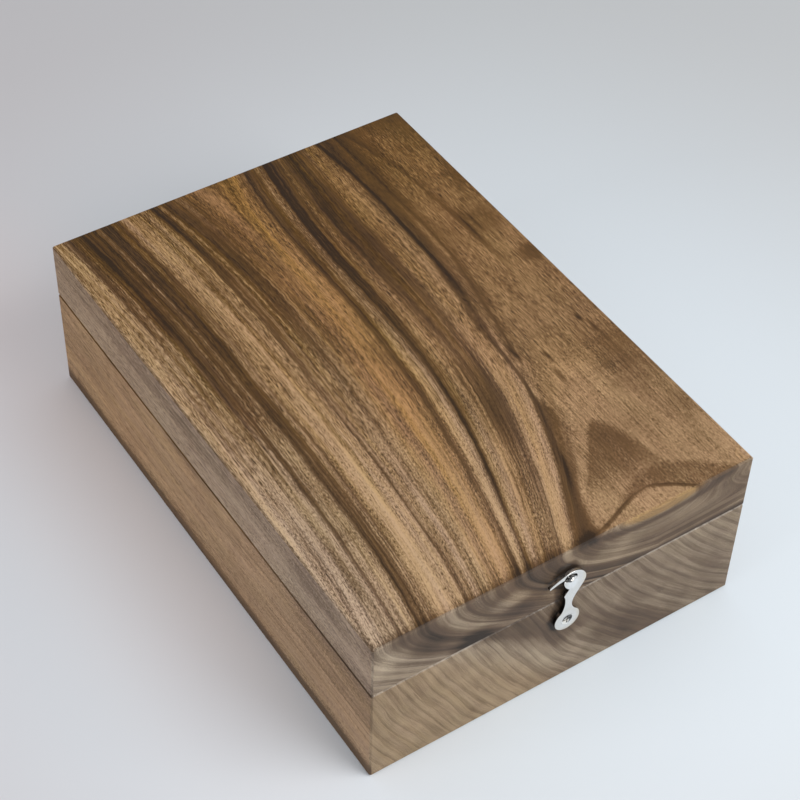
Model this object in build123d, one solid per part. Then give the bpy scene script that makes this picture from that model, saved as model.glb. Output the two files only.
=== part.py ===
from build123d import *
import os
from math import cos, isclose, radians, sin, sqrt, tan

os.makedirs("parts", exist_ok=True)

# A solid walnut box in two milled blocks, a base and a lid, with two stop hinges at the
# back and a swing hook on the front. Millimetres, +Z up, the front faces -Y, and the
# origin is the middle of the underside.

# Box
box_width = 200.0
box_depth = 288.0
base_height = 58.5
lid_height = 31.4
seam_gap = 0.1
wall = 14.0
base_floor = 10.0
lid_roof = 11.5
well_corner_radius = 8.0
well_floor_radius = 4.0
corner_chamfer = 0.7
top_chamfer = 0.8
foot_chamfer = 0.9
seam_chamfer = 0.9
rim_chamfer = 0.5

# Stop hinges
hinge_length = 32.0
hinge_inset = 42.0
knuckle_count = 5
knuckle_gap = 0.2
barrel_radius = 2.5
barrel_clearance = 0.3
axis_overhang = 0.6
leaf_thickness = 1.5
leaf_reach = 10.5
leaf_corner_radius = 1.5
mortise_clearance = 0.1
pin_radius = 1.2
pin_clearance = 0.05
pin_head_radius = 1.8
pin_head_height = 0.6
pin_head_gap = 0.1
lid_opening_angle = 105.0
stop_play_angle = 1.0
heel_depth = 3.3
heel_height = 7.0

# Hinge screws, two in each leaf
leaf_screw_spread = 18.0
leaf_screw_setback = 4.2
leaf_screw_radius = 1.1
leaf_screw_head_radius = 2.1
leaf_screw_length = 9.5

# All screws
screw_fit = 0.05
screw_point_length = 2.0
recess_width = 0.7
recess_depth = 0.6
recess_rim = 0.9
hole_spare_depth = 0.5

# Latch hook, in x and z from its pivot as seen from the front
hook_thickness = 1.7
hook_gap = 1.0
hook_edge_round = 0.2
hook_corner_round = 0.4
mouth_corner_round = 0.3
pivot_height = 45.9
lobe_radius = 6.6
lobe_neck_right_angle = 53.8
lobe_neck_left_angle = 124.7
waist_right = (1.75, 11.6)
head_foot_right = (5.0, 18.7)
head_right = (7.7, 25.1)
head_crown = (2.3, 32.2)
beak_back = (-4.3, 31.75)
beak_tip_top = (-11.8, 28.3)
beak_tip_bottom = (-11.8, 26.8)
lip_top = (-4.25, 27.8)
lip_side = (-3.5, 24.4)
throat = (-0.8, 21.0)
shoulder_left = (-3.25, 17.4)
waist_left = (-2.15, 11.3)

# Catch stud, and the slot and mouth of the hook that go round it
stud_offset = -0.4
stud_distance = 28.7
stud_neck_radius = 0.65
stud_head_radius = 2.2
stud_head_edge = 0.3
stud_head_height = 0.8
stud_head_gap = 0.15
stud_collar_radius = 1.9
stud_collar_gap = 0.2
stud_shank_radius = 1.1
stud_shank_length = 10.0
mouth_clearance = 0.15
mouth_angle = 28.0
slot_radius = 2.25
slot_stretch = 2.3
slot_tilt = 16.0
slot_shift = -0.3
slot_rise = 0.2

# Pivot screw and the washer behind the hook
pivot_screw_radius = 1.6
pivot_screw_head_radius = 3.2
pivot_screw_length = 12.5
pivot_clearance = 0.08
washer_radius = 3.6
washer_play = 0.1

# Places that follow from the sizes above
front_y = -box_depth / 2
rear_y = box_depth / 2
lid_bottom = base_height + seam_gap
hook_back_y = front_y - hook_gap
hook_face_y = hook_back_y - hook_thickness
stud_height = pivot_height + sqrt(stud_distance ** 2 - stud_offset ** 2)
hinge_centres = (hinge_inset - box_width / 2, box_width / 2 - hinge_inset)
knuckle_pitch = hinge_length / knuckle_count


def milled_block(height, floor, edge_chamfer):
    """A block standing on z = 0, with a round-cornered well sunk from its top to its floor."""
    block = Pos(0, 0, height / 2) * Box(box_width, box_depth, height)
    block = chamfer(block.edges().filter_by(Axis.Z), corner_chamfer)
    block = chamfer(block.faces().sort_by(Axis.Z)[-1].edges(), seam_chamfer)
    block = chamfer(block.faces().sort_by(Axis.Z)[0].edges(), edge_chamfer)
    outline = RectangleRounded(box_width - 2 * wall, box_depth - 2 * wall, well_corner_radius)
    well = extrude(Pos(0, 0, floor) * outline, height - floor)
    well = fillet(well.faces().sort_by(Axis.Z)[0].edges(), well_floor_radius)
    block = block - well
    rim = block.faces().sort_by(Axis.Z)[-1].inner_wires()[0]
    return chamfer(rim.edges(), rim_chamfer)


def cross_recess(head_radius):
    """The cross cut into the head of a screw at z = 0."""
    bar = Box(2 * (head_radius - recess_rim), recess_width, 2 * recess_depth)
    return bar + Rot(0, 0, 90) * bar


def screw(radius, head_radius, length):
    """A countersunk screw along Z, with its flat head at z = 0 and its point down."""
    profile = Polyline(
        (0, 0),
        (head_radius, 0),
        (radius, radius - head_radius),
        (radius, screw_point_length - length),
        (0, -length),
        close=True,
    )
    return revolve(Plane.XZ * make_face(profile), Axis.Z) - cross_recess(head_radius)


def screw_room(radius, head_radius, length, fit):
    """The room for such a screw, wider than it by a fit all round."""
    profile = Polyline(
        (0, 0),
        (head_radius + fit, 0),
        (radius + fit, radius - head_radius),
        (radius + fit, -length - hole_spare_depth),
        (0, -length - hole_spare_depth),
        close=True,
    )
    return revolve(Plane.XZ * make_face(profile), Axis.Z)


def along_x(radius, length):
    """A cylinder about the X axis, with its middle at the origin."""
    return Rot(0, 90, 0) * Cylinder(radius, length)


def leaf_plate(margin):
    """The flat of the lower leaf, or its mortise where the margin isn't zero."""
    reach = leaf_reach + margin
    plate = Box(hinge_length + 2 * margin, reach, leaf_thickness)
    plate = Pos(0, -reach / 2, -(seam_gap + leaf_thickness) / 2) * plate
    inner_corners = plate.edges().filter_by(Axis.Z).sort_by(Axis.Y)[:2]
    return fillet(inner_corners, leaf_corner_radius + margin)


def leaf_screw_places():
    """Where the screws of the lower leaf enter it, from the middle of the hinge's axis."""
    y = leaf_screw_setback - leaf_reach
    return [Pos(side * leaf_screw_spread / 2, y, -seam_gap / 2) for side in (-1, 1)]


def lower_leaf(own_knuckles):
    """A leaf below the hinge's axis, with knuckles, screw holes and the heel of the stop."""
    half_angle = radians((lid_opening_angle + stop_play_angle) / 2)
    heel = Polyline(
        (0, 0),
        (heel_depth, -heel_depth * tan(half_angle)),
        (heel_depth, -heel_height),
        (-axis_overhang, -heel_height),
        (-axis_overhang, -seam_gap / 2),
        (0, -seam_gap / 2),
        close=True,
    )
    heel = extrude(Plane.YZ.offset(-hinge_length / 2) * make_face(heel), hinge_length)
    leaf = leaf_plate(0) + heel
    for index in range(knuckle_count):
        place = Pos((index - (knuckle_count - 1) / 2) * knuckle_pitch, 0, 0)
        if index in own_knuckles:
            leaf = leaf + place * along_x(barrel_radius, knuckle_pitch - knuckle_gap)
        else:
            room = along_x(barrel_radius + barrel_clearance, knuckle_pitch + knuckle_gap)
            leaf = leaf - place * room
    leaf = leaf - along_x(pin_radius + pin_clearance, hinge_length)
    for place in leaf_screw_places():
        leaf = leaf - place * screw_room(
            leaf_screw_radius, leaf_screw_head_radius, leaf_screw_length, screw_fit
        )
    return leaf


def leaf_room():
    """What the lower leaf and its screws take out of the block that carries them."""
    room = leaf_plate(mortise_clearance)
    barrel = along_x(barrel_radius + barrel_clearance, hinge_length + 2 * mortise_clearance)
    pin_heads = along_x(
        pin_head_radius + barrel_clearance,
        hinge_length + 2 * (pin_head_gap + pin_head_height + barrel_clearance),
    )
    room = room + barrel + pin_heads
    for place in leaf_screw_places():
        room = room + place * screw_room(
            leaf_screw_radius, leaf_screw_head_radius, leaf_screw_length, screw_fit
        )
    return room


def leaf_screws():
    """The screws of the lower leaf."""
    one = screw(leaf_screw_radius, leaf_screw_head_radius, leaf_screw_length)
    return [place * one for place in leaf_screw_places()]


def hinge_pin():
    """A pin through the knuckles, with a peened head at each end."""
    reach = hinge_length / 2 + pin_head_gap
    pin = along_x(pin_radius, 2 * reach)
    for side in (-1, 1):
        head = along_x(pin_head_radius, pin_head_height)
        pin = pin + Pos(side * (reach + pin_head_height / 2), 0, 0) * head
    return pin


def mirrored(shape):
    """The same shape above the hinge's axis."""
    return mirror(shape, about=Plane.XY)


def on_lobe(angle):
    """A point on the rim of the hook's lobe."""
    return (lobe_radius * cos(radians(angle)), lobe_radius * sin(radians(angle)))


def hook_outline():
    """The hook's outer shape, seen from the front, with its pivot at the origin."""
    lobe_neck_right = on_lobe(lobe_neck_right_angle)
    lobe_neck_left = on_lobe(lobe_neck_left_angle)
    edges = [
        Spline(
            lobe_neck_right,
            waist_right,
            head_foot_right,
            head_right,
            head_crown,
            beak_back,
            beak_tip_top,
        ),
        Line(beak_tip_top, beak_tip_bottom),
        Line(beak_tip_bottom, lip_top),
        ThreePointArc(lip_top, lip_side, throat),
        Line(throat, shoulder_left),
        ThreePointArc(shoulder_left, waist_left, lobe_neck_left),
        ThreePointArc(lobe_neck_left, (0, -lobe_radius), lobe_neck_right),
    ]
    outline = make_face(edges)
    return fillet(outline.vertices(), hook_corner_round)


def stud_slot():
    """The slot round the closed stud, and the mouth that its neck leaves by."""
    rise = stud_height - pivot_height + slot_rise
    slot = SlotCenterToCenter(slot_stretch, 2 * slot_radius, rotation=-slot_tilt)
    slot = Pos(stud_offset + slot_shift, rise) * slot
    half_mouth = stud_neck_radius + mouth_clearance
    ring = Circle(stud_distance + half_mouth) - Circle(stud_distance - half_mouth)
    far = 2 * stud_distance
    wedge = Polyline((0, 0), (0, far), (-far * tan(radians(mouth_angle)), far), close=True)
    return slot + (ring & make_face(wedge))


def on_mouth_edge(edge):
    """Whether an upright edge of the hook stands where the mouth breaks its outline."""
    middle = edge.center()
    reach = sqrt(middle.X ** 2 + middle.Y ** 2)
    half_mouth = stud_neck_radius + mouth_clearance
    return isclose(abs(reach - stud_distance), half_mouth, abs_tol=0.02) and middle.X < 0


def latch_hook():
    """The cast hook, upright and closed round the stud."""
    hook = extrude(hook_outline(), hook_thickness) - extrude(stud_slot(), hook_thickness)
    hook = fillet(hook.edges().filter_by(Axis.Z).filter_by(on_mouth_edge), mouth_corner_round)
    hook = fillet(hook.faces().sort_by(Axis.Z)[-1].edges(), hook_edge_round)
    hook = hook - Pos(0, 0, hook_thickness) * screw_room(
        pivot_screw_radius, pivot_screw_head_radius, pivot_screw_length, pivot_clearance
    )
    return Pos(0, hook_back_y, pivot_height) * Rot(90, 0, 0) * hook


def pivot_place():
    """The middle of the pivot screw's head, flush with the hook's face, looking inwards."""
    return Pos(0, hook_face_y, pivot_height) * Rot(90, 0, 0)


def washer():
    """The washer that holds the hook off the wood."""
    thickness = hook_gap - washer_play
    ring = Cylinder(washer_radius, thickness)
    ring = ring - Cylinder(pivot_screw_radius + screw_fit, thickness)
    return Pos(0, front_y - thickness / 2, pivot_height) * Rot(90, 0, 0) * ring


def catch_stud():
    """A shouldered screw with a domed head, along Z, with the wood's face at z = 0."""
    collar_top = hook_gap - stud_collar_gap
    head_bottom = hook_gap + hook_thickness + stud_head_gap
    head_top = head_bottom + stud_head_height
    side = Polyline(
        (0, head_top),
        (0, -stud_shank_length),
        (stud_shank_radius, screw_point_length - stud_shank_length),
        (stud_shank_radius, 0),
        (stud_collar_radius, 0),
        (stud_collar_radius, collar_top),
        (stud_neck_radius, collar_top),
        (stud_neck_radius, head_bottom),
        (stud_head_radius, head_bottom),
        (stud_head_radius, head_bottom + stud_head_edge),
    )
    dome = TangentArc((0, head_top), side @ 1, tangent=(1, 0))
    stud = revolve(Plane.XZ * make_face([*side.edges(), dome]), Axis.Z)
    return stud - Pos(0, 0, head_top) * cross_recess(stud_head_radius)


def stud_room():
    """The hole for the stud's shank."""
    depth = stud_shank_length + hole_spare_depth
    return Pos(0, 0, -depth / 2) * Cylinder(stud_shank_radius + screw_fit, depth)


stud_place = Pos(stud_offset, front_y, stud_height) * Rot(90, 0, 0)
base_knuckles = range(0, knuckle_count, 2)
lid_knuckles = range(1, knuckle_count, 2)

base_block = milled_block(base_height, base_floor, foot_chamfer)
base_block = base_block - pivot_place() * screw_room(
    pivot_screw_radius, pivot_screw_head_radius, pivot_screw_length, screw_fit
)
lid_block = mirrored(milled_block(lid_height, lid_roof, top_chamfer))
lid_block = Pos(0, 0, lid_bottom + lid_height) * lid_block - stud_place * stud_room()

nodes = {
    "hook_washer": washer(),
    "hook_pivot_screw": pivot_place()
    * screw(pivot_screw_radius, pivot_screw_head_radius, pivot_screw_length),
    "latch_hook": latch_hook(),
    "catch_stud": stud_place * catch_stud(),
}
base_leaf_screws = []
lid_leaf_screws = []
for side, centre in zip(("left", "right"), hinge_centres):
    place = Pos(centre, rear_y + axis_overhang, base_height + seam_gap / 2)
    base_block = base_block - place * leaf_room()
    lid_block = lid_block - place * mirrored(leaf_room())
    nodes[side + "_hinge_base_leaf"] = place * lower_leaf(base_knuckles)
    nodes[side + "_hinge_lid_leaf"] = place * mirrored(lower_leaf(lid_knuckles))
    nodes[side + "_hinge_pin"] = place * hinge_pin()
    base_leaf_screws += [place * one for one in leaf_screws()]
    lid_leaf_screws += [place * mirrored(one) for one in leaf_screws()]
nodes["base_leaf_screws"] = Compound(base_leaf_screws)
nodes["lid_leaf_screws"] = Compound(lid_leaf_screws)
nodes["base_block"] = base_block
nodes["lid_block"] = lid_block

for name, shape in nodes.items():
    export_step(shape, "parts/" + name + ".step")
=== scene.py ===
"""A walnut box with a swing hook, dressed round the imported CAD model.

Lengths are metres, +Z is up and the box's front faces -Y. The wood's formulas work in
millimetres from the front-left-bottom corner of the closed box.
"""

import bpy
from mathutils import Euler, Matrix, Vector


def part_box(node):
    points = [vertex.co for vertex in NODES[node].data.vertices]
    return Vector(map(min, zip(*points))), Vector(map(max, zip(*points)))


bl_info = {
    "name": "Walnut hook box",
    "version": (1, 0, 0),
    "blender": (4, 5, 0),
    "location": "3D View > Sidebar > Walnut box",
    "description": "Finishes and photographs a walnut box with a swing hook",
    "category": "Object",
}

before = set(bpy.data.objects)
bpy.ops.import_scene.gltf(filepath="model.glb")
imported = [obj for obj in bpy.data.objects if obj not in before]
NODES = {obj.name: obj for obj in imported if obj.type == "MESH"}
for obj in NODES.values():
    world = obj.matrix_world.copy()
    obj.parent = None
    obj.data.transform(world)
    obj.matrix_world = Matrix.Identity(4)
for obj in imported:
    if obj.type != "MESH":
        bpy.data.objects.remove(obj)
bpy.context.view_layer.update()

MM = 1000.0


def measured(node):
    """Lowest and highest corner of a CAD node in millimetres, to one decimal place."""
    return [[round(value * MM, 1) for value in corner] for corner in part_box(node)]


BOX_LOW, BASE_HIGH = measured("base_block")
BOX_HIGH = measured("lid_block")[1]
WIDTH, DEPTH, HEIGHT = [high - low for low, high in zip(BOX_LOW, BOX_HIGH)]
SEAM = BASE_HIGH[2]


def front_place(node):
    """Middle of a CAD node as it shows on the front: millimetres from the left, and up."""
    low, high = measured(node)
    return [round((low[axis] + high[axis]) / 2 - BOX_LOW[axis], 1) for axis in (0, 2)]


PIVOT_X, PIVOT_Z = front_place("hook_pivot_screw")
STUD_X, STUD_Z = front_place("catch_stud")


# Sizes and colours that a user would change


class WalnutLook(bpy.types.PropertyGroup):
    """Colours and surface of the oiled walnut."""

    pale: bpy.props.FloatVectorProperty(
        name="Pale wood",
        description="Lightest wood between the streaks",
        subtype="COLOR",
        default=(0.569, 0.389, 0.226),
    )
    golden: bpy.props.FloatVectorProperty(
        name="Golden wood",
        description="Warm wood in the middle of the lid",
        subtype="COLOR",
        default=(0.478, 0.256, 0.106),
    )
    brown: bpy.props.FloatVectorProperty(
        name="Brown wood",
        description="Wood halfway to the dark streaks",
        subtype="COLOR",
        default=(0.140, 0.073, 0.028),
    )
    dark: bpy.props.FloatVectorProperty(
        name="Dark streaks",
        description="Darkest wood",
        subtype="COLOR",
        default=(0.033, 0.018, 0.0085),
    )
    roughness: bpy.props.FloatProperty(
        name="Roughness",
        description="Mean roughness of the oiled surface",
        default=0.46,
        min=0.1,
        max=1.0,
    )


class MetalLook(bpy.types.PropertyGroup):
    """Colours and surface of the plated parts."""

    plating: bpy.props.FloatVectorProperty(
        name="Bright plating",
        description="Colour of the hook and the screws",
        subtype="COLOR",
        default=(0.88, 0.860, 0.825),
    )
    hinge: bpy.props.FloatVectorProperty(
        name="Hinge plating",
        description="Colour of the hinges",
        subtype="COLOR",
        default=(0.62, 0.60, 0.56),
    )
    roughness: bpy.props.FloatProperty(
        name="Roughness",
        description="Mean roughness of the bright plating",
        default=0.18,
        min=0.02,
        max=1.0,
    )


class StageLook(bpy.types.PropertyGroup):
    """Floor, lamps and camera."""

    # The floor's colour in the middle of its painted pool of light
    floor_near: bpy.props.FloatVectorProperty(
        name="Near floor",
        description="Floor colour beside the box",
        subtype="COLOR",
        default=(0.83, 0.91, 0.97),
    )
    floor_left: bpy.props.FloatVectorProperty(
        name="Left floor",
        description="Floor colour far to the left",
        subtype="COLOR",
        default=(0.61, 0.58, 0.59),
    )
    floor_right: bpy.props.FloatVectorProperty(
        name="Right floor",
        description="Floor colour far to the right",
        subtype="COLOR",
        default=(0.61, 0.62, 0.625),
    )
    lamp_power: bpy.props.FloatProperty(
        name="Lamp power",
        description="Power of the large lamp",
        unit="POWER",
        default=9.0,
        min=0.0,
    )
    fill_power: bpy.props.FloatProperty(
        name="Fill power",
        description="Power of the lamp on the left",
        unit="POWER",
        default=4.2,
        min=0.0,
    )
    lens: bpy.props.FloatProperty(
        name="Lens",
        description="Focal length for a 36 mm sensor",
        subtype="DISTANCE_CAMERA",
        default=91.585,
        min=10.0,
    )


# Formulas as nodes


class Sum:
    """A number in a node tree, so that a formula reads as it is written."""

    def __init__(self, tree, socket):
        self.tree = tree
        self.socket = socket

    def worked(self, operation, *values):
        """What a Math node makes of these values."""
        node = self.tree.nodes.new("ShaderNodeMath")
        node.operation = operation
        for place, value in zip(node.inputs, values):
            feed(place, value)
        return Sum(self.tree, node.outputs[0])

    def __add__(self, other):
        return self.worked("ADD", self, other)

    def __sub__(self, other):
        return self.worked("SUBTRACT", self, other)

    def __rsub__(self, other):
        return self.worked("SUBTRACT", other, self)

    def __mul__(self, other):
        return self.worked("MULTIPLY", self, other)

    def __truediv__(self, other):
        return self.worked("DIVIDE", self, other)

    def __pow__(self, other):
        return self.worked("POWER", self, other)

    __radd__ = __add__
    __rmul__ = __mul__

    def root(self):
        return self.worked("SQRT", self)

    def size(self):
        return self.worked("ABSOLUTE", self)

    def part(self):
        return self.worked("FRACT", self)

    def at_least(self, other):
        return self.worked("MAXIMUM", self, other)

    def at_most(self, other):
        return self.worked("MINIMUM", self, other)

    def stretched(self, low, high, to_low=0.0, to_high=1.0, kind="SMOOTHSTEP"):
        """The value taken from low..high to to_low..to_high, and held at the ends."""
        node = self.tree.nodes.new("ShaderNodeMapRange")
        node.interpolation_type = kind
        for name, value in (
            ("Value", self),
            ("From Min", low),
            ("From Max", high),
            ("To Min", to_low),
            ("To Max", to_high),
        ):
            feed(node.inputs[name], value)
        return Sum(self.tree, node.outputs["Result"])

    def fading(self, low, high):
        """1 up to low and 0 from high on."""
        return self.stretched(low, high, 1.0, 0.0)

    def straight(self, low, high, to_low=0.0, to_high=1.0):
        """The same as stretched, along a straight line."""
        return self.stretched(low, high, to_low, to_high, "LINEAR")

    def along(self, stops):
        """The value read off a list of (place, height) stops, with straight runs between."""
        node = self.tree.nodes.new("ShaderNodeValToRGB")
        elements = node.color_ramp.elements
        while len(elements) < len(stops):
            elements.new(1.0)
        for element, (place, height) in zip(elements, stops):
            element.position = place
            element.color = (height, height, height, 1.0)
        feed(node.inputs["Fac"], self)
        return Sum(self.tree, node.outputs["Color"])


def feed(socket, value):
    """Links a node's output to a socket, or sets a plain value on it."""
    if isinstance(value, Sum):
        value = value.socket
    if isinstance(value, bpy.types.NodeSocket):
        socket.id_data.links.new(value, socket)
    else:
        socket.default_value = value


def axes(tree, whole):
    """The three numbers of a vector."""
    node = tree.nodes.new("ShaderNodeSeparateXYZ")
    feed(node.inputs[0], whole)
    return [Sum(tree, output) for output in node.outputs]


def vector(tree, *numbers):
    """A vector of three numbers."""
    node = tree.nodes.new("ShaderNodeCombineXYZ")
    for place, value in zip(node.inputs, numbers):
        feed(place, value)
    return node.outputs[0]


def distance(*numbers):
    """Length of the vector of these numbers."""
    total = numbers[0] * numbers[0]
    for number in numbers[1:]:
        total = total + number * number
    return total.root()


def noise(places, steps, detail=2, roughness=0.5):
    """Smooth noise from 0 to 1, with so many steps to the unit along each of three places."""
    tree = places[0].tree
    node = tree.nodes.new("ShaderNodeTexNoise")
    feed(node.inputs["Vector"], vector(tree, *[at * step for at, step in zip(places, steps)]))
    feed(node.inputs["Scale"], 1.0)
    feed(node.inputs["Detail"], detail)
    feed(node.inputs["Roughness"], roughness)
    return Sum(tree, node.outputs["Fac"])


def mixed(tree, share, first, second, kind="MIX"):
    """Two colours mixed by a share."""
    node = tree.nodes.new("ShaderNodeMix")
    node.data_type = "RGBA"
    node.blend_type = kind
    feed(node.inputs[0], share)
    feed(node.inputs[6], first)
    feed(node.inputs[7], second)
    return node.outputs[2]


def toned(tree, colour, hue=0.5, saturation=1.0, value=1.0):
    """A colour with its hue, saturation and value changed."""
    node = tree.nodes.new("ShaderNodeHueSaturation")
    feed(node.inputs["Color"], colour)
    feed(node.inputs["Hue"], hue)
    feed(node.inputs["Saturation"], saturation)
    feed(node.inputs["Value"], value)
    return node.outputs["Color"]


def effect(name, inputs, outputs):
    """A new shader node group, with the kind of each named input and output."""
    tree = bpy.data.node_groups.new(name, "ShaderNodeTree")
    for sockets, way in ((inputs, "INPUT"), (outputs, "OUTPUT")):
        for label, kind in sockets.items():
            tree.interface.new_socket(label, in_out=way, socket_type="NodeSocket" + kind)
    start = tree.nodes.new("NodeGroupInput")
    end = tree.nodes.new("NodeGroupOutput")
    return tree, start.outputs, end.inputs


def placed(tree, group, values):
    """A group's node in a material's tree, with its inputs fed; gives its outputs."""
    node = tree.nodes.new("ShaderNodeGroup")
    node.node_tree = group
    for label, value in values.items():
        feed(node.inputs[label], value)
    return node.outputs


def new_material(name):
    """A bare material, its node tree and its texture coordinates."""
    material = bpy.data.materials.new(name)
    material.use_nodes = True
    tree = material.node_tree
    tree.nodes.clear()
    return material, tree, tree.nodes.new("ShaderNodeTexCoord").outputs


def bumped(tree, height, strength, reach):
    """The normal of a surface that a height lifts by up to a reach in metres."""
    node = tree.nodes.new("ShaderNodeBump")
    feed(node.inputs["Strength"], strength)
    feed(node.inputs["Distance"], reach)
    feed(node.inputs["Height"], height)
    return node.outputs["Normal"]


def finished(tree, values):
    """Ends a material with a Principled BSDF that has these values."""
    shader = tree.nodes.new("ShaderNodeBsdfPrincipled")
    for label, value in values.items():
        feed(shader.inputs[label], value)
    end = tree.nodes.new("ShaderNodeOutputMaterial")
    feed(end.inputs["Surface"], shader.outputs["BSDF"])


def millimetres(tree, position):
    """Millimetres from the front-left-bottom corner of the closed box."""
    x, y, z = axes(tree, position)
    return x * MM + WIDTH / 2, y * MM + DEPTH / 2, z * MM


# Walnut

# Where a face's own shade fades out round its edge, in millimetres behind the face
FRONT_EDGE = (0.4, 1.4)
LEFT_EDGE = (0.4, 1.2)
SOFT_EDGE = (0.5, 1.5)

# The lid's pith in millimetres: its place across at the front, how much further right it
# lies at the back, its height over the top there, and where it starts to dip to the front
PITH_X = 150.0
PITH_DRIFT = 15.0
PITH_HEIGHT = 40.0
DIP_START = 188.0
# Half width and depth of the knot's eye in the lid's front
EYE_REACH = (27.0, 6.5)
# Mean distance between the dark lines of two years
LID_YEAR = 9.0
BASE_YEAR = 5.0
# Distances from the pith over which the lid's top passes from flat grain to clear rings
FLAT_GRAIN = (33, 52)

# The base's pith, (x, z), and its dark band: where the band's left edge meets the seam, and
# its direction across
BASE_PITH = (330.0, 190.0)
BAND_START = 54.0
BAND_ACROSS = (0.657, 0.755)

# Darkness towards which the lid's front and all end grain are calmed
FRONT_MEAN = 0.42
END_MEAN = 0.45
# Depth of the pores in metres and how strongly it shows, and the sheen of the oil
PORE_DEPTH = 0.00012
PORE_STRENGTH = 0.35
OIL_SHEEN = 0.16

# Streaks of the lid: distance from the pith in millimetres, and how dark
BACK_STREAKS = (
    (0, 0.34), (40, 0.36), (42, 0.34), (43.3, 0.44), (44.4, 0.28), (46, 0.22), (49.2, 0.26),
    (50, 0.36), (51.5, 0.52), (55, 0.70), (59.3, 0.58), (60, 0.40), (62, 0.36), (64, 0.62),
    (66.5, 1.0), (68.3, 0.94), (69.4, 0.34), (71.5, 0.30), (74, 0.46), (76.5, 0.80), (77.3, 0.60),
    (78.2, 0.25), (82, 0.12), (86, 0.18), (90, 0.44), (92, 0.36), (95, 0.55), (97.6, 0.50),
    (98, 0.34), (100, 0.44), (103.2, 0.62), (104, 0.18), (106, 0.16), (108.5, 0.34), (110, 0.26),
    (111.3, 0.02), (115, 0.08), (118, 0.24), (120, 0.58), (122.6, 0.40), (123.6, 0.68),
    (125.5, 0.58), (127.8, 0.84), (129.4, 0.34), (131.6, 0.74), (133.8, 0.40), (136, 0.64),
    (138.2, 0.90), (140, 0.58), (142.5, 0.36), (145, 0.42), (147.6, 0.38), (148.4, 0.12),
    (150, 0.16), (155, 0.20), (156.5, 0.08), (200, 0.25),
)
FRONT_STREAKS = (
    (0, 0.26), (26, 0.30), (34, 0.34), (42, 0.34), (45, 0.22), (47, 0.16), (50, 0.22), (52, 0.50),
    (57, 0.58), (58.8, 0.52), (59.6, 0.18), (62, 0.24), (65, 0.34), (67, 0.66), (68.4, 0.86),
    (70, 0.48), (71.6, 0.10), (74.5, 0.14), (76.6, 0.70), (77.9, 0.74), (79.6, 0.34), (84, 0.08),
    (88, 0.30), (90, 0.26), (93, 0.36), (96.9, 0.42), (97.4, 0.10), (98.2, 0.24), (100, 0.36),
    (102, 0.44), (103.9, 0.54), (104.4, 0.04), (105.2, 0.14), (107, 0.16), (109.5, 0.34),
    (111.4, 0.0), (115, 0.0), (118, 0.34), (120, 0.58), (121.6, 0.34), (123.3, 0.68), (125, 0.66),
    (127.3, 0.84), (129, 0.32), (131, 0.14), (133, 0.36), (134.5, 0.28), (136.2, 0.80),
    (138, 0.40), (140, 0.32), (142, 0.38), (144.7, 0.42), (145.2, 0.06), (146, 0.20), (150, 0.24),
    (153.2, 0.32), (154, 0.0), (200, 0.15),
)
# A colour ramp holds 32 stops at most, so each one reads this many millimetres of streaks
STREAK_SPAN = 50

# How much darker the streaks are in the lid's front end grain, by the same distance
END_SHADE = (
    (0, 0.05), (30, 0.15), (50, 0.10), (56, 0.34), (70, 0.34), (76, 0.14), (104, 0.22),
    (116, 0.10), (121, 0.42), (137, 0.42), (143, 0.05), (200, 0.05),
)
RING_REACH = 200.0

# Lines that cross the rings of the lid's top: (y, x) places in millimetres
LONG_LINE = (
    (0, 108), (20, 115), (40, 124.5), (60, 131.5), (70, 135), (80, 138), (90, 140.3), (100, 142),
    (112, 143.3), (124, 144.3), (140, 146.4), (155, 149), (180, 152), (230, 153.5), (260, 152.5),
    (288, 150),
)
SECOND_LINE = (
    (105, 148), (120, 150), (135, 153), (150, 155.5), (165, 158.5), (180, 161), (200, 162),
    (250, 161.5), (288, 160),
)
THIRD_LINE = (
    (170, 179), (210, 177.5), (230, 176), (245, 174.5), (258, 172), (270, 169.5), (288, 164.5),
)
# Edges of the brown tongue beside the long line, and of the brown fan over the knot
TONGUE_RIGHT = ((20, 121), (30, 127), (40, 133), (50, 138), (60, 142), (70, 143), (84, 141))
FAN_LEFT = ((10, 112), (20, 122), (32, 131), (42, 139), (53, 147), (58, 154))
FAN_RIGHT = ((18, 166), (28, 164), (36, 163), (44, 161), (52, 158), (60, 153))
# Edges of the brown arch round the knot's eye: (x, y) places in millimetres
ARCH_LOW = (
    (110, 0), (118, 2), (130, 6.5), (140, 10), (148, 11), (153, 10.2), (160, 6.5), (170, -1),
    (200, -12),
)
ARCH_HIGH = ((125, 4), (138, 14), (146, 18), (155, 20), (165, 19), (175, 14), (183, 8), (192, 0))

# Painted shadow of the hook on the wood: its middle and half width, (z, x) and (z, reach) in
# millimetres
HOOK_SHADOW_MIDDLE = ((36, 97.5), (46, 97.3), (54, 97.2), (60, 97.2), (68, 98.2), (76, 98.5), (84, 99))
HOOK_SHADOW_REACH = ((36, 3), (40, 5.0), (46, 7.2), (52, 4.6), (58, 3.6), (66, 5.2), (78, 8), (84, 4))

# A ramp's heights run from 0 to 1. In a path's ramp they stand for places from the low one
# on, over the span, in millimetres
PATH_LOW = -50.0
PATH_SPAN = 300.0

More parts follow.
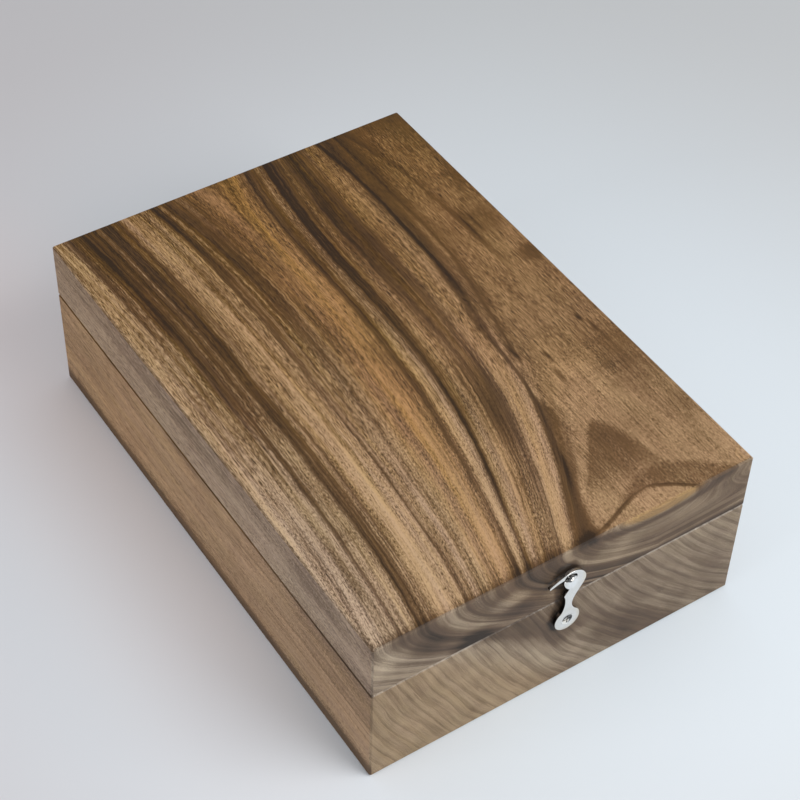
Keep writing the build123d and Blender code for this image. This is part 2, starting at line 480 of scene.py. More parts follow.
# Paler and darker patches on the two fronts: (x, z), half width and half height, how dark
LID_FRONT_PATCHES = (
    (8, 77, 12, 9, -0.26),
    (30, 76, 10, 8, 0.24),
    (52, 61, 12, 8, 0.64),
    (70, 76, 11, 6, -0.42),
    (76, 67, 12, 6, 0.20),
    (92, 76, 9, 7, 0.10),
    (130, 76, 12, 8, -0.16),
    (165, 76, 16, 8, -0.13),
    (170, 61, 34, 7, 0.30),
)
BASE_FRONT_PATCHES = (
    (92, 6, 16, 12, 0.14),
    (110, 3, 12, 8, 0.24),
    (112, 23, 12, 12, -0.32),
    (150, 3, 16, 8, -0.10),
    (188, 26, 16, 26, 0.11),
)

# Marks on the lid's top: place, half width and half length in millimetres, and how dark
LID_MARKS = (
    (111, 0, 8, 9, 0.25),
    (187.5, 113, 1.6, 4, 0.55),
    (190, 105, 1.2, 6, 0.35),
    (160, 100, 1.3, 5, 0.45),
    (157.5, 87, 1.8, 8, 0.40),
    (147.5, 110, 1.6, 9, 0.40),
    (180.5, 193, 1.0, 15, 0.34),
    (185, 197, 0.9, 13, 0.30),
    (183, 205, 0.8, 9, 0.20),
    (196, 162, 11, 9, 0.22),
    (197, 228, 9, 12, 0.12),
    (194, 72, 22, 52, 0.22),
    (184, 248, 26, 42, -0.26),
    (8, 50, 11, 28, 0.12),
    (171, 190, 8, 20, 0.10),
    (190, 194, 11, 14, 0.14),
    (76, 0, 24, 14, 0.26),
    (30, 76, 12, 50, 0.13),
    (190, 92, 16, 18, 0.08),
    (115, 92, 18, 38, 0.20),
    (170, 45, 12, 16, 0.10),
    (72, 240, 3, 30, 0.08),
)


def ring_group(name):
    """A block's group: its rings, how the grain flows, and how dark and golden it is."""
    outputs = {"Ring": "Float", "Flow": "Vector", "Darkness": "Float", "Gold": "Float"}
    return effect(name, {"Position": "Vector"}, outputs)


def streaks(ring, stops):
    """How dark the wood is at a ring. Each ramp reads its own span and is level past it."""
    darkness = stops[0][1]
    for start in range(0, int(stops[-1][0]), STREAK_SPAN):
        end = start + STREAK_SPAN
        run = [((at - start) / STREAK_SPAN, dark) for at, dark in stops if start <= at <= end]
        if run[0][0] > 0.0 or run[-1][0] < 1.0:
            raise ValueError("The streaks need a stop at each end of every span")
        darkness = ring.straight(start, end).along(run) - run[0][1] + darkness
    return darkness


def path(along, points):
    """The place across at a place along, read off a list of points and level past its ends."""
    start, end = points[0][0], points[-1][0]
    run = [((at - start) / (end - start), (place - PATH_LOW) / PATH_SPAN) for at, place in points]
    return along.straight(start, end).along(run) * PATH_SPAN + PATH_LOW


def lid_growth(x, y, z, wander):
    """Distance from the lid's pith, and how far the pith has dipped towards the front."""
    depth = HEIGHT - z
    dip = ((DIP_START - y) / DIP_START).at_least(0.0) ** 2.0
    away = 1.0 - dip
    # The pith lies further right at the back, and the rings on the left don't follow it
    across = x + wander + 12.0 * away * (1.0 - x.stretched(50, 105))
    # Near the back the rings part at the middle of the lid
    lean = x.stretched(75, 105, -6.0, 7.0) - x.stretched(125, 150, 0.0, 7.0)
    across = across - lean * y.straight(DEPTH - 100.0, DEPTH) ** 2.0
    aside = across - (PITH_X + PITH_DRIFT * away)
    # Right of the pith they spread out, but not by the front's upper edge
    squeeze = distance(y, depth).stretched(5, 24, 0.0, 0.85) * aside.stretched(-1, 8)
    aside = aside * (1.0 - squeeze)
    rise = depth * (aside.size() * 0.011 + 1.8)
    # The pith's dip is part of an ellipse
    above = PITH_HEIGHT * (1.0 - dip * dip).at_least(0.0).root() + rise + 2.0
    ring = distance(aside, above)
    # Near the front the middle rings lie a little further out
    shift = y.stretched(10, 130, 5.0, 0.0) * ring.stretched(28, 42)
    ring = ring - shift * ring.fading(70, 79)
    waver = noise((ring, y, z), (0.09, 0.012, 0.012), detail=3)
    scallops = noise((ring, y, z), (0.15, 0.16, 0.16))
    return ring + (waver - 0.5) * 1.8 + (scallops - 0.5) * 1.1, dip


def marked(darkness, x, y, depth):
    """The lid's darkness with the marks on its top."""
    for mark_x, mark_y, half_width, half_length, dark in LID_MARKS:
        across = (x - mark_x) / half_width
        along = (y - mark_y) / half_length
        down = depth / (half_width + half_length)
        darkness = darkness + distance(across, along, down).stretched(0.1, 1.2, dark, 0.0)
    return darkness


def lid_gold(ring, y):
    """How golden the lid is: most in the rings under the middle of its top."""
    gold = ring.stretched(73, 79) - ring.stretched(88, 94, 0.0, 0.7)
    gold = gold - ring.stretched(116, 130, 0.0, 0.3) + ring.stretched(60, 66, 0.65, 0.35)
    gold = gold - ring.stretched(73, 79, 0.0, 0.35)
    return gold * y.stretched(0, 120, 0.55, 0.85)


def lid_rings():
    """Growth rings of the lid: a pith that lies over the right of the top and dips into it
    at the front, where it makes a knot."""
    tree, given, wanted = ring_group("Lid rings")
    x, y, z = millimetres(tree, given["Position"])
    depth = HEIGHT - z
    on_front = y.fading(*FRONT_EDGE)
    on_back = y.stretched(DEPTH - FRONT_EDGE[1], DEPTH - FRONT_EDGE[0])
    on_left = x.fading(*LEFT_EDGE)
    wander = (noise((x, y, z), (0.02, 0.009, 0.02)) - 0.5) * 2.4
    ring, dip = lid_growth(x, y, z, wander)

    # The top's streaks and figure
    long_line = x - path(y, LONG_LINE)
    back = y.stretched(105, 175)
    darkness = back * streaks(ring, BACK_STREAKS) + (1.0 - back) * streaks(ring, FRONT_STREAKS)
    darkness = darkness + right_figure(x, y, long_line) * depth.fading(0, 6)
    # The top is a little darker towards the back: partly the wood's own tone, partly painted
    # shade for the sheen that lights its front
    darkness = darkness + (y - DEPTH / 2) * depth.stretched(0, 6, 0.0012, 0.0)

    # The knot's eye in the front, and the dark ring round it
    eye = distance((x + wander - PITH_X) / EYE_REACH[0], depth / EYE_REACH[1])
    in_eye = eye.fading(0.7, 1.0) * on_front
    round_eye = (eye - 1.25).size().stretched(0.05, 0.35, 0.30, 0.0) * depth.stretched(0, 2)
    darkness = darkness + round_eye - in_eye * 0.22

    # The front's end grain, then the left side, darkened by painted shade, with broad stripes
    # along it
    end_shade = (ring / RING_REACH).along([(at / RING_REACH, dark) for at, dark in END_SHADE])
    darkness = darkness + end_shade * on_front
    darkness = darkness + (FRONT_MEAN - darkness) * on_front * x.stretched(70, 115, 0.40, 0.0)
    side = (depth + wander).stretched(11, 17, 0.35, 0.20)
    side = side + y.stretched(0, 90, 0.17, 0.0) * depth.stretched(20, 27)
    darkness = darkness + on_left * (side + darkness * 0.25 - darkness)
    # Painted shade and highlight at the seam, and the hook's painted shadow on the wood
    darkness = darkness + seam_painted_light(x, y, z) + hook_painted_shadow(x, y, z)
    darkness = darkness + front_patches(x, y, z, LID_FRONT_PATCHES)
    darkness = marked(darkness, x + wander, y, depth)

    gold = lid_gold(ring, y) * (1.0 - on_left)
    gold = gold * (1.0 - (on_front + on_back) * 0.65) + in_eye * 0.6
    # The pores run with the streaks, which bend towards the front
    bend = dip * x.straight(10, 118, 8, 40) * long_line.fading(-1, 2)
    feed(wanted["Ring"], ring)
    feed(wanted["Flow"], vector(tree, x + bend, y, z))
    feed(wanted["Darkness"], darkness)
    feed(wanted["Gold"], gold)
    return tree


def right_figure(x, y, long_line):
    """What the rings don't give over the pith: a long dark line that widens into the knot,
    two lines at the back, a brown tongue and fan, and a brown arch round the knot's eye."""
    stray = noise((x, y, 0.0), (0.05, 0.02, 0.0)) * 3.0 - 1.5
    rough = noise((x, y, 0.0), (0.25, 0.25, 0.0)) * 2.0 - 1.0
    long_line = long_line + stray * 0.4
    width = y.stretched(0, 60, 9.5, 2.6) - y.stretched(74, 84, 0.0, 1.0)
    width = width + y.stretched(112, 135, 0.0, 1.9) - y.stretched(165, 190, 0.0, 1.8)
    dark = (long_line.size() / width).stretched(0.25, 1.0, 0.44, 0.0)
    behind = long_line.stretched(-0.6, 0.6) * long_line.fading(3, 9)
    dark = dark + behind * y.stretched(165, 195, 0.08, 0.26)
    second = x - path(y, SECOND_LINE) + stray * 0.4
    behind = second.stretched(-0.5, 0.5) * (1.0 - second.stretched(1.2, 7.0))
    dark = dark + behind * y.stretched(100, 125, 0.0, 0.18)
    dark = dark + second.size().stretched(0.3, 1.6, 0.16, 0.0) * y.stretched(98, 112)
    third = x - path(y, THIRD_LINE) + stray * 0.4
    behind = third.stretched(-0.5, 0.5) * (1.0 - third.stretched(0.8, 6.0, 0.0, 0.75))
    dark = dark + behind * y.stretched(150, 180, 0.0, 0.20)
    tongue = long_line.stretched(0, 2) * (path(y, TONGUE_RIGHT) - x + rough).stretched(-0.5, 2.5)
    tongue = tongue * y.stretched(16, 36) * y.fading(74, 86)
    fan = (x - path(y, FAN_LEFT) + rough).stretched(-1, 2.5)
    fan = fan * (path(y, FAN_RIGHT) - x + rough * 1.5).stretched(-2, 4)
    fan = fan * (y + rough * 2.0).stretched(12, 32) * (y + rough).fading(54, 60)
    low = y - path(x, ARCH_LOW) + rough * 0.4
    arch = low.stretched(-0.3, 1.0) * (path(x, ARCH_HIGH) - y + rough).stretched(-2, 3)
    line = low.size().fading(0.4, 1.8)
    line = line * (x.stretched(112, 122) - (x - 145.0).size().stretched(3, 9, 0.55, 0.0))
    return dark + tongue * 0.24 + fan * 0.30 + arch * 0.28 + line * 0.40


def seam_painted_light(x, y, z):
    """The seam's rounded edges: a line of painted shade along the left side and a painted
    highlight in front.
    """
    from_seam = (z - SEAM).size()
    groove_shade = from_seam.stretched(0.7, 1.3, 0.38, 0.0) * x.fading(*SOFT_EDGE)
    painted_glint = from_seam.stretched(0.5, 0.8, 0.16, 0.0) * y.fading(*SOFT_EDGE)
    return groove_shade - painted_glint


def hook_painted_shadow(x, y, z):
    """Painted shadow of the hook on the wood, behind it and at its upper left."""
    rough = noise((x, y, z), (0.3, 1.0, 0.3)) * 2.0 - 1.0
    across = (x - path(z, HOOK_SHADOW_MIDDLE) + rough).size() / path(z, HOOK_SHADOW_REACH)
    inside = z.stretched(36, 40) * z.fading(80, 84) * y.fading(*SOFT_EDGE)
    return across.stretched(0.5, 1.15, 0.50, 0.0) * inside


def front_patches(x, y, z, patches):
    """How much darker the front is where it has a patch."""
    darkness = 0.0
    for patch_x, patch_z, half_width, half_height, dark in patches:
        far = distance((x - patch_x) / half_width, (z - patch_z) / half_height)
        darkness = far.stretched(0.1, 1.3, dark, 0.0) + darkness
    return darkness * y.fading(*SOFT_EDGE)


def base_rings():
    """Growth rings of the base: wide arcs about a pith far over its right side, with a
    dark band across them."""
    tree, given, wanted = ring_group("Base rings")
    x, y, z = millimetres(tree, given["Position"])
    wander = (noise((x, y, z), (0.016, 0.008, 0.016)) - 0.5) * 16.0
    ring = distance(x + wander * 0.45 - BASE_PITH[0], BASE_PITH[1] - z)
    band = (x - BAND_START) * BAND_ACROSS[0] + (z - SEAM) * BAND_ACROSS[1]
    band = band + wander * 0.6 + (y - 20.0) * 0.04
    # The band darkens over this distance, which is longer lower down
    edge = z.straight(0, 58, 20, 3)
    darkness = band.stretched(-4, edge, 0.15, 0.68) - (band - edge).stretched(5, 23, 0.0, 0.28)
    darkness = darkness - band.stretched(40, 70, 0.0, 0.10)
    # Painted shade and highlight at the seam, and the hook's painted shadow on the wood
    darkness = darkness + seam_painted_light(x, y, z) + hook_painted_shadow(x, y, z)
    darkness = darkness + front_patches(x, y, z, BASE_FRONT_PATCHES)
    on_left = x.fading(*LEFT_EDGE)
    # Painted shadow along the foot of the left side
    darkness = darkness + on_left * (z + wander * 0.25).stretched(2, 12, 0.58, 0.06)
    by_front = y.stretched(30, 110, 0.12, 0.0) * z.stretched(25, 45)
    darkness = darkness + on_left * by_front
    feed(wanted["Ring"], ring)
    feed(wanted["Flow"], vector(tree, x, y, z))
    feed(wanted["Darkness"], darkness)
    feed(wanted["Gold"], band.stretched(-20, 0, 0.34, 0.02))
    return tree


class Wood:
    """A place in the wood: where it lies, its ring, and how its face cuts the grain."""

    def __init__(self, tree, given):
        self.place = axes(tree, given["Flow"])
        self.x, self.y, self.z = self.place
        self.ring = Sum(tree, given["Ring"])
        self.gold = Sum(tree, given["Gold"])
        self.darkness = Sum(tree, given["Darkness"])
        facing = axes(tree, given["Normal"])
        self.end_grain = facing[1].size().stretched(0.35, 0.65)
        self.calm = facing[0].size().stretched(0.55, 0.9, 1.0, 0.5)
        self.far = self.ring.stretched(*FLAT_GRAIN).at_least(self.end_grain)

    def either(self, along, across):
        """One weight where the face runs along the grain, and another on end grain."""
        return self.end_grain.straight(0, 1, along, across)


def ringed(wood, ring_width):
    """The darkness with the bands and years that follow the rings, and with mottle."""
    rings = (wood.ring, wood.y, wood.z)
    broad = noise(rings, (0.16, 0.006, 0.01), detail=3, roughness=0.6)
    bands = noise(rings, (0.6, 0.010, 0.04))
    fine = noise(rings, (1.7, 0.016, 0.04), roughness=0.6)
    darts = noise((wood.ring, wood.x - wood.z, wood.y), (1.0, 0.04, 0.1), detail=3)
    mottle = noise(wood.place, (0.06, 0.03, 0.06), detail=4, roughness=0.6)
    year = (wood.ring / ring_width + broad * 2.2).part()
    late_wood = year.stretched(0.35, 1.0) * year.stretched(1.0, 0.97)
    return (
        wood.darkness
        + (broad - 0.5) * wood.calm * 0.35
        + (bands - 0.5) * wood.far * wood.calm * wood.either(0.5, 0.30)
        + (fine - 0.5) * wood.far * wood.calm * wood.either(1.15, 0.32)
        + (darts - 0.5) * wood.end_grain * 0.24
        + (mottle - 0.5) * wood.calm * 0.45
        + (late_wood - 0.25) * wood.far * wood.calm * wood.either(0.12, 0.18)
    )


def open_pores(wood):
    """How open the pores are: most in the paler wood, and in stripes of it."""
    across = wood.ring * wood.far + (wood.x + 0.15 * wood.z) * (1.0 - wood.far)
    porous = noise((across, wood.y, wood.z), (0.24, 0.008, 0.01))
    pale = wood.darkness.stretched(0.40, 0.60, 1.0, 0.35)
    return pale * wood.calm * porous.stretched(0.36, 0.60, 0.70, 1.20)


def wood_hue(wood, darkness, streak_tone):
    """The walnut's hue: a little different from place to place and from ring to ring."""
    tone = noise(wood.place, (0.07, 0.025, 0.07)) - 0.5
    yellower = (0.62 - darkness).straight(0, 0.4, 0, 0.010) * wood.end_grain
    return 0.5 + tone * 0.014 + streak_tone * 0.020 + yellower


def wood_saturation(wood, streak_tone):
    """How strong the colour is: less on the sides, as painted bounce light from the pale floor;
    less on end grain, partly its own greyer colour and partly painted sheen; less at the seam's
    front edges, for the painted highlight there; and less towards the front and at the lid's
    front left corner, as painted sheen."""
    # Less colour on the sides for the floor's bounce light, and towards the front for sheen:
    # painted light
    side_grey = wood.z.stretched(SEAM, SEAM + 0.5, 0.07, 0.23)
    strength = wood.y.straight(60, 240, 1.0, 1.11) - wood.calm.straight(0.5, 1.0, side_grey, 0.0)
    # Painted highlight at the seam's front edges, less coloured
    painted_glint = (wood.z - SEAM).size().stretched(0.5, 0.9, 0.65, 1.0)
    strength = strength * wood.y.stretched(*SOFT_EDGE, painted_glint, 1.0)
    # End grain: partly its own greyer colour, partly painted sheen
    strength = strength * wood.either(1.0, wood.gold.straight(0, 1, 0.72, 1.10))
    strength = strength * (1.0 + streak_tone * 0.35)
    # Painted sheen at the lid's front left corner
    corner = wood.x.fading(8, 45) * wood.y.fading(0, 160) * (1.0 - wood.end_grain)
    return strength * (1.0 - corner * wood.calm.stretched(0.6, 0.9) * 0.14)


def walnut():
    """Oiled walnut: the colour between and in the streaks, pores and fibres along Y, and
    greyer end grain with fine lines along its rings."""
    tree, given, wanted = effect(
        "Walnut",
        {
            "Normal": "Vector",
            "Ring": "Float",
            "Flow": "Vector",
            "Darkness": "Float",
            "Gold": "Float",
            "Ring width": "Float",
            "Roughness": "Float",
            "Pale": "Color",
            "Golden": "Color",
            "Brown": "Color",
            "Dark": "Color",
        },
        {"Color": "Color", "Roughness": "Float", "Height": "Float"},
    )
    wood = Wood(tree, given)
    x, y, z = wood.place
    open_wood = open_pores(wood)
    lines = noise(wood.place, (1.0, 0.018, 1.0), roughness=0.6) - 0.5
    lines = lines * (1.0 - wood.far) * (1.0 - wood.end_grain)
    dashes = noise(wood.place, (1.4, 0.08, 1.4), detail=1, roughness=0.6) - 0.5
    darkness = ringed(wood, given["Ring width"])
    darkness = darkness + lines * open_wood * y.stretched(20, 80, 0.3, 1.3)
    darkness = darkness + dashes * (1.0 - wood.end_grain) * open_wood * 0.6
    darkness = END_MEAN + (darkness - END_MEAN) * wood.either(1.0, 0.8)

    # Pores and fibres, longer towards the back
    along = y.at_most(100.0) * 0.40 + (y - 100.0).at_least(0.0) * 0.17
    pores = noise((x, along, z), (2.6, 1.0, 2.6), roughness=0.7) + dashes * 0.2
    pores = pores.stretched(0.57, 0.70)
    fibres = noise((x, along * 1.4 + 30.0, z), (3.6, 1.0, 3.6), roughness=0.8) - 0.5
    open_wood = open_wood * wood.either(1.0, 0.55) * wood.far.straight(0, 1, 0.65, 1.0)
    darkness = darkness + pores * open_wood * 0.44 + fibres * open_wood * 3.1

    light = mixed(tree, wood.gold, given["Pale"], given["Golden"])
    brown = mixed(tree, darkness.straight(-0.15, 0.5), light, given["Brown"])
    colour = mixed(tree, darkness.straight(0.5, 1.0), brown, given["Dark"])
    streak_tone = noise((wood.ring, y, z), (0.28, 0.005, 0.01), roughness=0.6) - 0.5
    streak_tone = streak_tone * wood.far * wood.calm * wood.either(1.0, 0.4)
    hue = wood_hue(wood, darkness, streak_tone)
    saturation = wood_saturation(wood, streak_tone)
    feed(wanted["Color"], toned(tree, colour, hue, saturation, wood.either(1.0, 0.98)))
    feed(wanted["Roughness"], Sum(tree, given["Roughness"]) + pores * 0.15 + fibres * 0.2)
    feed(wanted["Height"], 1.0 - pores * 0.8 + fibres * 0.5)
    return tree


def walnut_material(name, rings, ring_width):
    """Oiled walnut for one of the two blocks."""
    look = bpy.context.scene.walnut_look
    group = bpy.data.node_groups.get("Walnut") or walnut()
    material, tree, where = new_material(name)
    figure = placed(tree, rings, {"Position": where["Object"]})
    values = {
        "Normal": where["Normal"],
        "Ring width": ring_width,
        "Roughness": look.roughness,
        "Pale": (*look.pale, 1.0),
        "Golden": (*look.golden, 1.0),
        "Brown": (*look.brown, 1.0),
        "Dark": (*look.dark, 1.0),
    }
    for label in ("Ring", "Flow", "Darkness", "Gold"):
        values[label] = figure[label]
    wood = placed(tree, group, values)
    surface = {
        "Base Color": wood["Color"],
        "Roughness": wood["Roughness"],
        "Specular IOR Level": OIL_SHEEN,
        "Normal": bumped(tree, wood["Height"], PORE_STRENGTH, PORE_DEPTH),
    }
    finished(tree, surface)
    return material


# Plated metal

# Height of the waves in the plating in metres, and how much rougher the hinges are
PLATING_DEPTH = 0.0001
HINGE_DULLNESS = 0.12

# Middle of the painted shine on the hook under the stud, and half its width and height
PAINTED_SHINE_PLACE = (100.6, 70.6)
PAINTED_SHINE_REACH = (3.6, 4.2)

# The two heads, in millimetres: middle, reach of the cross, rim of the painted dark ring, and
# the painted highlight from the middle; then how dark the cross's painted shade is and how warm
# the highlight
HEADS = {
    "hook_pivot_screw": {
        "Middle x": PIVOT_X,
        "Middle z": PIVOT_Z,
        "Arm": 2.3,
        "Rim": 2.7,
        "Spot x": -0.9,
        "Spot z": -1.1,
        "Spot radius": 1.7,
        "Cross": 0.55,
        "Warmth": 2.4,
    },
    "catch_stud": {
        "Middle x": STUD_X,
        "Middle z": STUD_Z,
        "Arm": 1.3,
        "Rim": 2.5,
        "Spot x": 0.9,
        "Spot z": -0.4,
        "Spot radius": 1.3,
        "Cross": 0.05,
        "Warmth": 0.6,
    },
}


def plating():
    """Plated metal: soft waves in the coat, fine scuffs, and dull spots."""
    tree, given, wanted = effect(
        "Plating",
        {"Position": "Vector", "Colour": "Color", "Roughness": "Float", "Scuffs": "Float"},
        {"Color": "Color", "Roughness": "Float", "Height": "Float"},
    )
    places = axes(tree, given["Position"])
    scuffs = Sum(tree, given["Scuffs"])
    waves = noise(places, (350, 350, 350))
    lines = noise(places, (9000, 3000, 700))
    spots = noise(places, (1400, 1400, 1400), detail=3)
    dull = spots.stretched(0.55, 0.75) * scuffs
    marks = lines.stretched(0.58, 0.72) * scuffs
    value = 1.0 - dull * 0.35 - marks * 0.15
    feed(wanted["Color"], toned(tree, given["Colour"], value=value))
    feed(wanted["Roughness"], Sum(tree, given["Roughness"]) + dull * 0.25 + marks * 0.2)
    feed(wanted["Height"], waves + lines * 0.15 - dull * 0.4)
    return tree


def metal_material(name, colour, roughness, scuffs, wave, shade=None, settings=None):
    """Plated metal for one kind of part, shaded by a group with Value and Saturation."""
    group = bpy.data.node_groups.get("Plating") or plating()
    material, tree, where = new_material(name)
    values = {
        "Position": where["Object"],
        "Colour": (*colour, 1.0),
        "Roughness": roughness,
        "Scuffs": scuffs,
    }
    coat = placed(tree, group, values)
    seen = coat["Color"]
    if shade:
        values = {"Position": where["Object"], **(settings or {})}
        if "Normal" in shade.interface.items_tree:
            values["Normal"] = where["Normal"]
        cast = placed(tree, shade, values)
        seen = toned(tree, seen, value=cast["Value"], saturation=cast["Saturation"])
    surface = {
        "Base Color": seen,
        "Metallic": 1.0,
        "Roughness": coat["Roughness"],
        "Normal": bumped(tree, coat["Height"], wave, PLATING_DEPTH),
    }
    finished(tree, surface)
    return material


def hook_shade():
    """Painted light on the hook: painted dark reflection on its sides, a painted shine under the
    stud, and a warm cast towards its edges.
    """
    inputs = {"Position": "Vector", "Normal": "Vector"}
    outputs = {"Value": "Float", "Saturation": "Float"}
    tree, given, wanted = effect("Hook shade", inputs, outputs)
    x, y, z = millimetres(tree, given["Position"])
    facing = axes(tree, given["Normal"])
    face = facing[1].size().stretched(0.1, 0.45)
    grain = noise((x, y, z), (0.6, 2.0, 0.6), detail=3)
    # Painted dark reflection on the sides, grey where they face up
    side = 0.03 + grain.stretched(0.35, 0.65, 0.30, 0.95) * facing[2].stretched(0.5, 0.9)
    from_x, from_z = (x - PAINTED_SHINE_PLACE[0]) / PAINTED_SHINE_REACH[0], (z - PAINTED_SHINE_PLACE[1]) / PAINTED_SHINE_REACH[1]
    # Painted shine under the stud
    shine = distance(from_x, from_z).fading(0.4, 1.1)
    rim_x, rim_z = x - PIVOT_X, z - PIVOT_Z
    rim = distance(rim_x, rim_z).stretched(4.2, 6.2) * z.fading(53, 54)
    rim = rim * (rim_x - rim_z).stretched(-2, 5, 0.25, 1.0)
    edge = rim_x.stretched(5.0, 7.2) * z.stretched(64, 68)
    smudge = noise((x, y, z), (0.35, 1.0, 0.25), detail=3).stretched(0.35, 0.7)
    value = (0.95 + shine * 0.14 - rim * 0.06 - smudge * 0.05) * face + side * (1.0 - face)
    feed(wanted["Value"], value)
    feed(wanted["Saturation"], 0.9 + (rim + edge) * 2.0 - shine * 0.8)
    return tree


def screw_shade():
    """A polished screw head in painted light: a bright painted highlight, painted dark reflection
    all round it inside the rim, and painted shade in the cross.
    """
    inputs = {"Position": "Vector", **{label: "Float" for label in HEADS["catch_stud"]}}
    outputs = {"Value": "Float", "Saturation": "Float"}
    tree, given, wanted = effect("Screw shade", inputs, outputs)
    x, _, z = millimetres(tree, given["Position"])
    x, z = x - given["Middle x"], z - given["Middle z"]
    narrow, wide = x.size().at_most(z.size()), x.size().at_least(z.size())
    cross = narrow.fading(0.34, 0.44) * (wide - given["Arm"]).fading(0.0, 0.1)
    spot = distance(x - given["Spot x"], z - given["Spot z"])
    from_spot = spot - given["Spot radius"]
    inside = (distance(x, z) - given["Rim"]).fading(-0.1, 0.3)
    dark = from_spot.stretched(-0.1, 0.5) * inside
    value = 1.14 - dark + cross * (dark * 0.7 - given["Cross"])
    feed(wanted["Value"], value.at_least(0.03))
    feed(wanted["Saturation"], from_spot.stretched(-1.0, 0.4, given["Warmth"], 0.8))
    return tree


def dress(material, *names):
    """Gives CAD nodes one material."""
    for name in names:
        slots = NODES[name].data.materials
        slots.clear()
        slots.append(material)


# Operators, one for each piece or group of like pieces and one for the stage


class WALNUTBOX_OT_stage(bpy.types.Operator):
    """Makes the floor, the lamps, the world and the camera"""

    bl_idname = "walnutbox.stage"
    bl_label = "Stage"

    def execute(self, context):
        look = context.scene.stage_look
        make_floor(look)
        make_lamps(look)
        make_camera(look)
        context.scene.view_settings.view_transform = "Standard"
        return {"FINISHED"}


class WALNUTBOX_OT_lid(bpy.types.Operator):
    """Finishes the lid's block"""

    bl_idname = "walnutbox.lid"
    bl_label = "Lid"

    def execute(self, context):
        dress(walnut_material("Lid walnut", lid_rings(), LID_YEAR), "lid_block")
        return {"FINISHED"}


class WALNUTBOX_OT_base(bpy.types.Operator):
    """Finishes the base's block"""

    bl_idname = "walnutbox.base"
    bl_label = "Base"

    def execute(self, context):
        dress(walnut_material("Base walnut", base_rings(), BASE_YEAR), "base_block")
        return {"FINISHED"}


class WALNUTBOX_OT_hook(bpy.types.Operator):
    """Finishes the swing hook"""

    bl_idname = "walnutbox.hook"
    bl_label = "Hook"

    def execute(self, context):
        look = context.scene.metal_look
        material = metal_material(
            "Cast hook plating",
            look.plating,
            look.roughness,
            scuffs=0.35,
            wave=0.25,
            shade=hook_shade(),
        )
        dress(material, "latch_hook")
        return {"FINISHED"}


class WALNUTBOX_OT_screws(bpy.types.Operator):
    """Finishes the screws, the stud and the washer"""

    bl_idname = "walnutbox.screws"
    bl_label = "Screws and stud"

    def execute(self, context):
        look = context.scene.metal_look
        finish = {"colour": look.plating, "roughness": look.roughness, "wave": 0.2}
        plain = metal_material("Screw plating", scuffs=0.5, **finish)
        dress(plain, "hook_washer", "base_leaf_screws", "lid_leaf_screws")
        shade = screw_shade()
        for node, head in HEADS.items():
            name = node.replace("_", " ").capitalize() + " plating"
            polished = metal_material(name, scuffs=0.3, shade=shade, settings=head, **finish)
            dress(polished, node)
        return {"FINISHED"}


class WALNUTBOX_OT_hinges(bpy.types.Operator):
    """Finishes the stop hinges and their pins"""

    bl_idname = "walnutbox.hinges"
    bl_label = "Hinges"

    def execute(self, context):
        look = context.scene.metal_look
        roughness = look.roughness + HINGE_DULLNESS
        material = metal_material("Hinge plating", look.hinge, roughness, scuffs=0.6, wave=0.3)
        for side in ("left", "right"):
            for piece in ("hinge_base_leaf", "hinge_lid_leaf", "hinge_pin"):
                dress(material, f"{side}_{piece}")
        return {"FINISHED"}


# Stage, in metres

FLOOR_REACH = 4.0
FLOOR_DROP = 0.0002
# The floor's painted pool of light, and the warm bounce light from the box's left side, painted
# beside it
POOL_MIDDLE = (0.043, -0.028)
POOL_RADIUS = 0.44
WARM_BOUNCE_MIDDLE = (-0.11, 0.08)
WARM_BOUNCE_LIGHT = (1.17, 1.065, 1.03, 1.0)

LARGE_LAMP = {"place": (0.42, -0.78, 0.90), "target": (0.05, -0.15, 0.0), "size": 0.8}
FILL_LAMP = {"place": (-1.25, 0.0, 0.35), "target": (0.0, 0.0, 0.05), "size": 0.7}
ROOM_COLOUR = (0.86, 0.88, 0.91, 1.0)
ROOM_STRENGTH = 0.64

SENSOR_WIDTH = 36.0
CAMERA_PLACE = (-0.375698, -0.555553, 0.752211)
CAMERA_TURN = (0.767285, -0.014316, -0.570703)
CAMERA_SHIFT = (0.0348, -0.00515)


def make_floor(look):
    """A pale floor with a painted pool of light round the box, darker away from it, and warm
    painted bounce light along the box's left side.
    """
    mesh = bpy.data.meshes.new("Floor")
    corners = [(-1, -1), (1, -1), (1, 1), (-1, 1)]
    corners = [(x * FLOOR_REACH, y * FLOOR_REACH, 0.0) for x, y in corners]
    mesh.from_pydata(corners, [], [(0, 1, 2, 3)])
    floor = bpy.data.objects.new("Floor", mesh)
    bpy.context.scene.collection.objects.link(floor)
    floor.location.z = -FLOOR_DROP
    material, tree, where = new_material("Floor paper")
    x, y = axes(tree, where["Object"])[:2]
    # Painted pool of light round the box
    pool = distance(x - POOL_MIDDLE[0], y - POOL_MIDDLE[1]).fading(0.0, POOL_RADIUS)
    rightward = (x - y * 0.18).straight(-0.18, 0.19)
    around = mixed(tree, rightward, (*look.floor_left, 1.0), (*look.floor_right, 1.0))
    colour = mixed(tree, pool, around, (*look.floor_near, 1.0))
    # Painted warm bounce light from the box's left side
    beside = (x - WARM_BOUNCE_MIDDLE[0]).size().fading(0.0, 0.09)
    beside = beside * (y - WARM_BOUNCE_MIDDLE[1]).size().fading(0.1, 0.26)
    colour = mixed(tree, beside, colour, WARM_BOUNCE_LIGHT, "MULTIPLY")
    finished(tree, {"Base Color": colour, "Roughness": 0.7, "Specular IOR Level": 0.2})
    mesh.materials.append(material)


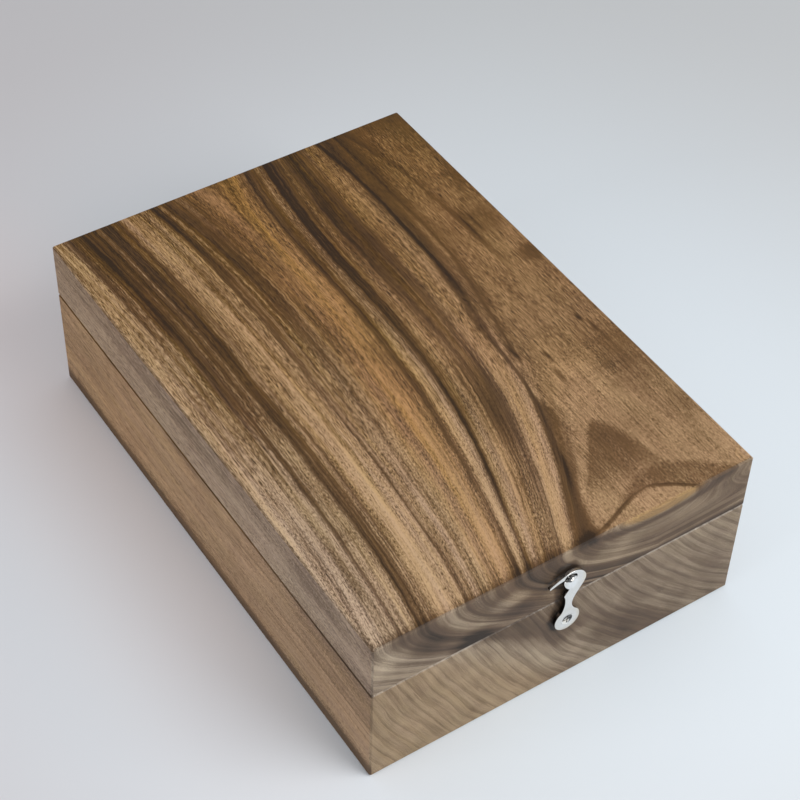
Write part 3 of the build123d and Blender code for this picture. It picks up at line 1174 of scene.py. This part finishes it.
def make_lamp(name, power, place, target, size):
    """A square area lamp that faces a point."""
    lamp = bpy.data.lights.new(name, "AREA")
    lamp.energy = power
    lamp.size = size
    holder = bpy.data.objects.new(name, lamp)
    bpy.context.scene.collection.objects.link(holder)
    holder.location = place
    aim = Vector(target) - Vector(place)
    holder.rotation_euler = aim.to_track_quat("-Z", "Y").to_euler()


def make_lamps(look):
    """A large soft lamp at the front right, one at the left, and pale light all round."""
    make_lamp("Large lamp", look.lamp_power, **LARGE_LAMP)
    make_lamp("Fill lamp", look.fill_power, **FILL_LAMP)
    world = bpy.data.worlds.new("Pale room")
    world.use_nodes = True
    bpy.context.scene.world = world
    sky = world.node_tree.nodes["Background"]
    sky.inputs["Color"].default_value = ROOM_COLOUR
    sky.inputs["Strength"].default_value = ROOM_STRENGTH


def make_camera(look):
    """The photograph's own camera, solved from the box's corners."""
    camera = bpy.data.cameras.new("Photograph camera")
    camera.sensor_width = SENSOR_WIDTH
    camera.lens = look.lens
    camera.shift_x, camera.shift_y = CAMERA_SHIFT
    camera.clip_start = 0.01
    camera.clip_end = 50.0
    holder = bpy.data.objects.new("Photograph camera", camera)
    bpy.context.scene.collection.objects.link(holder)
    holder.location = CAMERA_PLACE
    holder.rotation_euler = Euler(CAMERA_TURN, "XYZ")
    bpy.context.scene.camera = holder


class WALNUTBOX_PT_panel(bpy.types.Panel):
    """Lists the box's pieces and their settings"""

    bl_idname = "WALNUTBOX_PT_panel"
    bl_label = "Walnut box"
    bl_space_type = "VIEW_3D"
    bl_region_type = "UI"
    bl_category = "Walnut box"

    def draw(self, context):
        scene = context.scene
        for look in (scene.walnut_look, scene.metal_look, scene.stage_look):
            column = self.layout.column(align=True)
            for name in look.__annotations__:
                column.prop(look, name)
        for operator in OPERATORS:
            self.layout.operator(operator.bl_idname)


OPERATORS = (
    WALNUTBOX_OT_stage,
    WALNUTBOX_OT_lid,
    WALNUTBOX_OT_base,
    WALNUTBOX_OT_hook,
    WALNUTBOX_OT_screws,
    WALNUTBOX_OT_hinges,
)
LOOKS = (WalnutLook, MetalLook, StageLook)


def register():
    for kind in (*LOOKS, *OPERATORS, WALNUTBOX_PT_panel):
        bpy.utils.register_class(kind)
    bpy.types.Scene.walnut_look = bpy.props.PointerProperty(type=WalnutLook)
    bpy.types.Scene.metal_look = bpy.props.PointerProperty(type=MetalLook)
    bpy.types.Scene.stage_look = bpy.props.PointerProperty(type=StageLook)


def unregister():
    del bpy.types.Scene.stage_look
    del bpy.types.Scene.metal_look
    del bpy.types.Scene.walnut_look
    for kind in reversed((*LOOKS, *OPERATORS, WALNUTBOX_PT_panel)):
        bpy.utils.unregister_class(kind)


def main():
    """Builds the whole scene."""
    register()
    bpy.ops.walnutbox.stage()
    bpy.ops.walnutbox.lid()
    bpy.ops.walnutbox.base()
    bpy.ops.walnutbox.hook()
    bpy.ops.walnutbox.screws()
    bpy.ops.walnutbox.hinges()


if __name__ == "__main__":
    main()
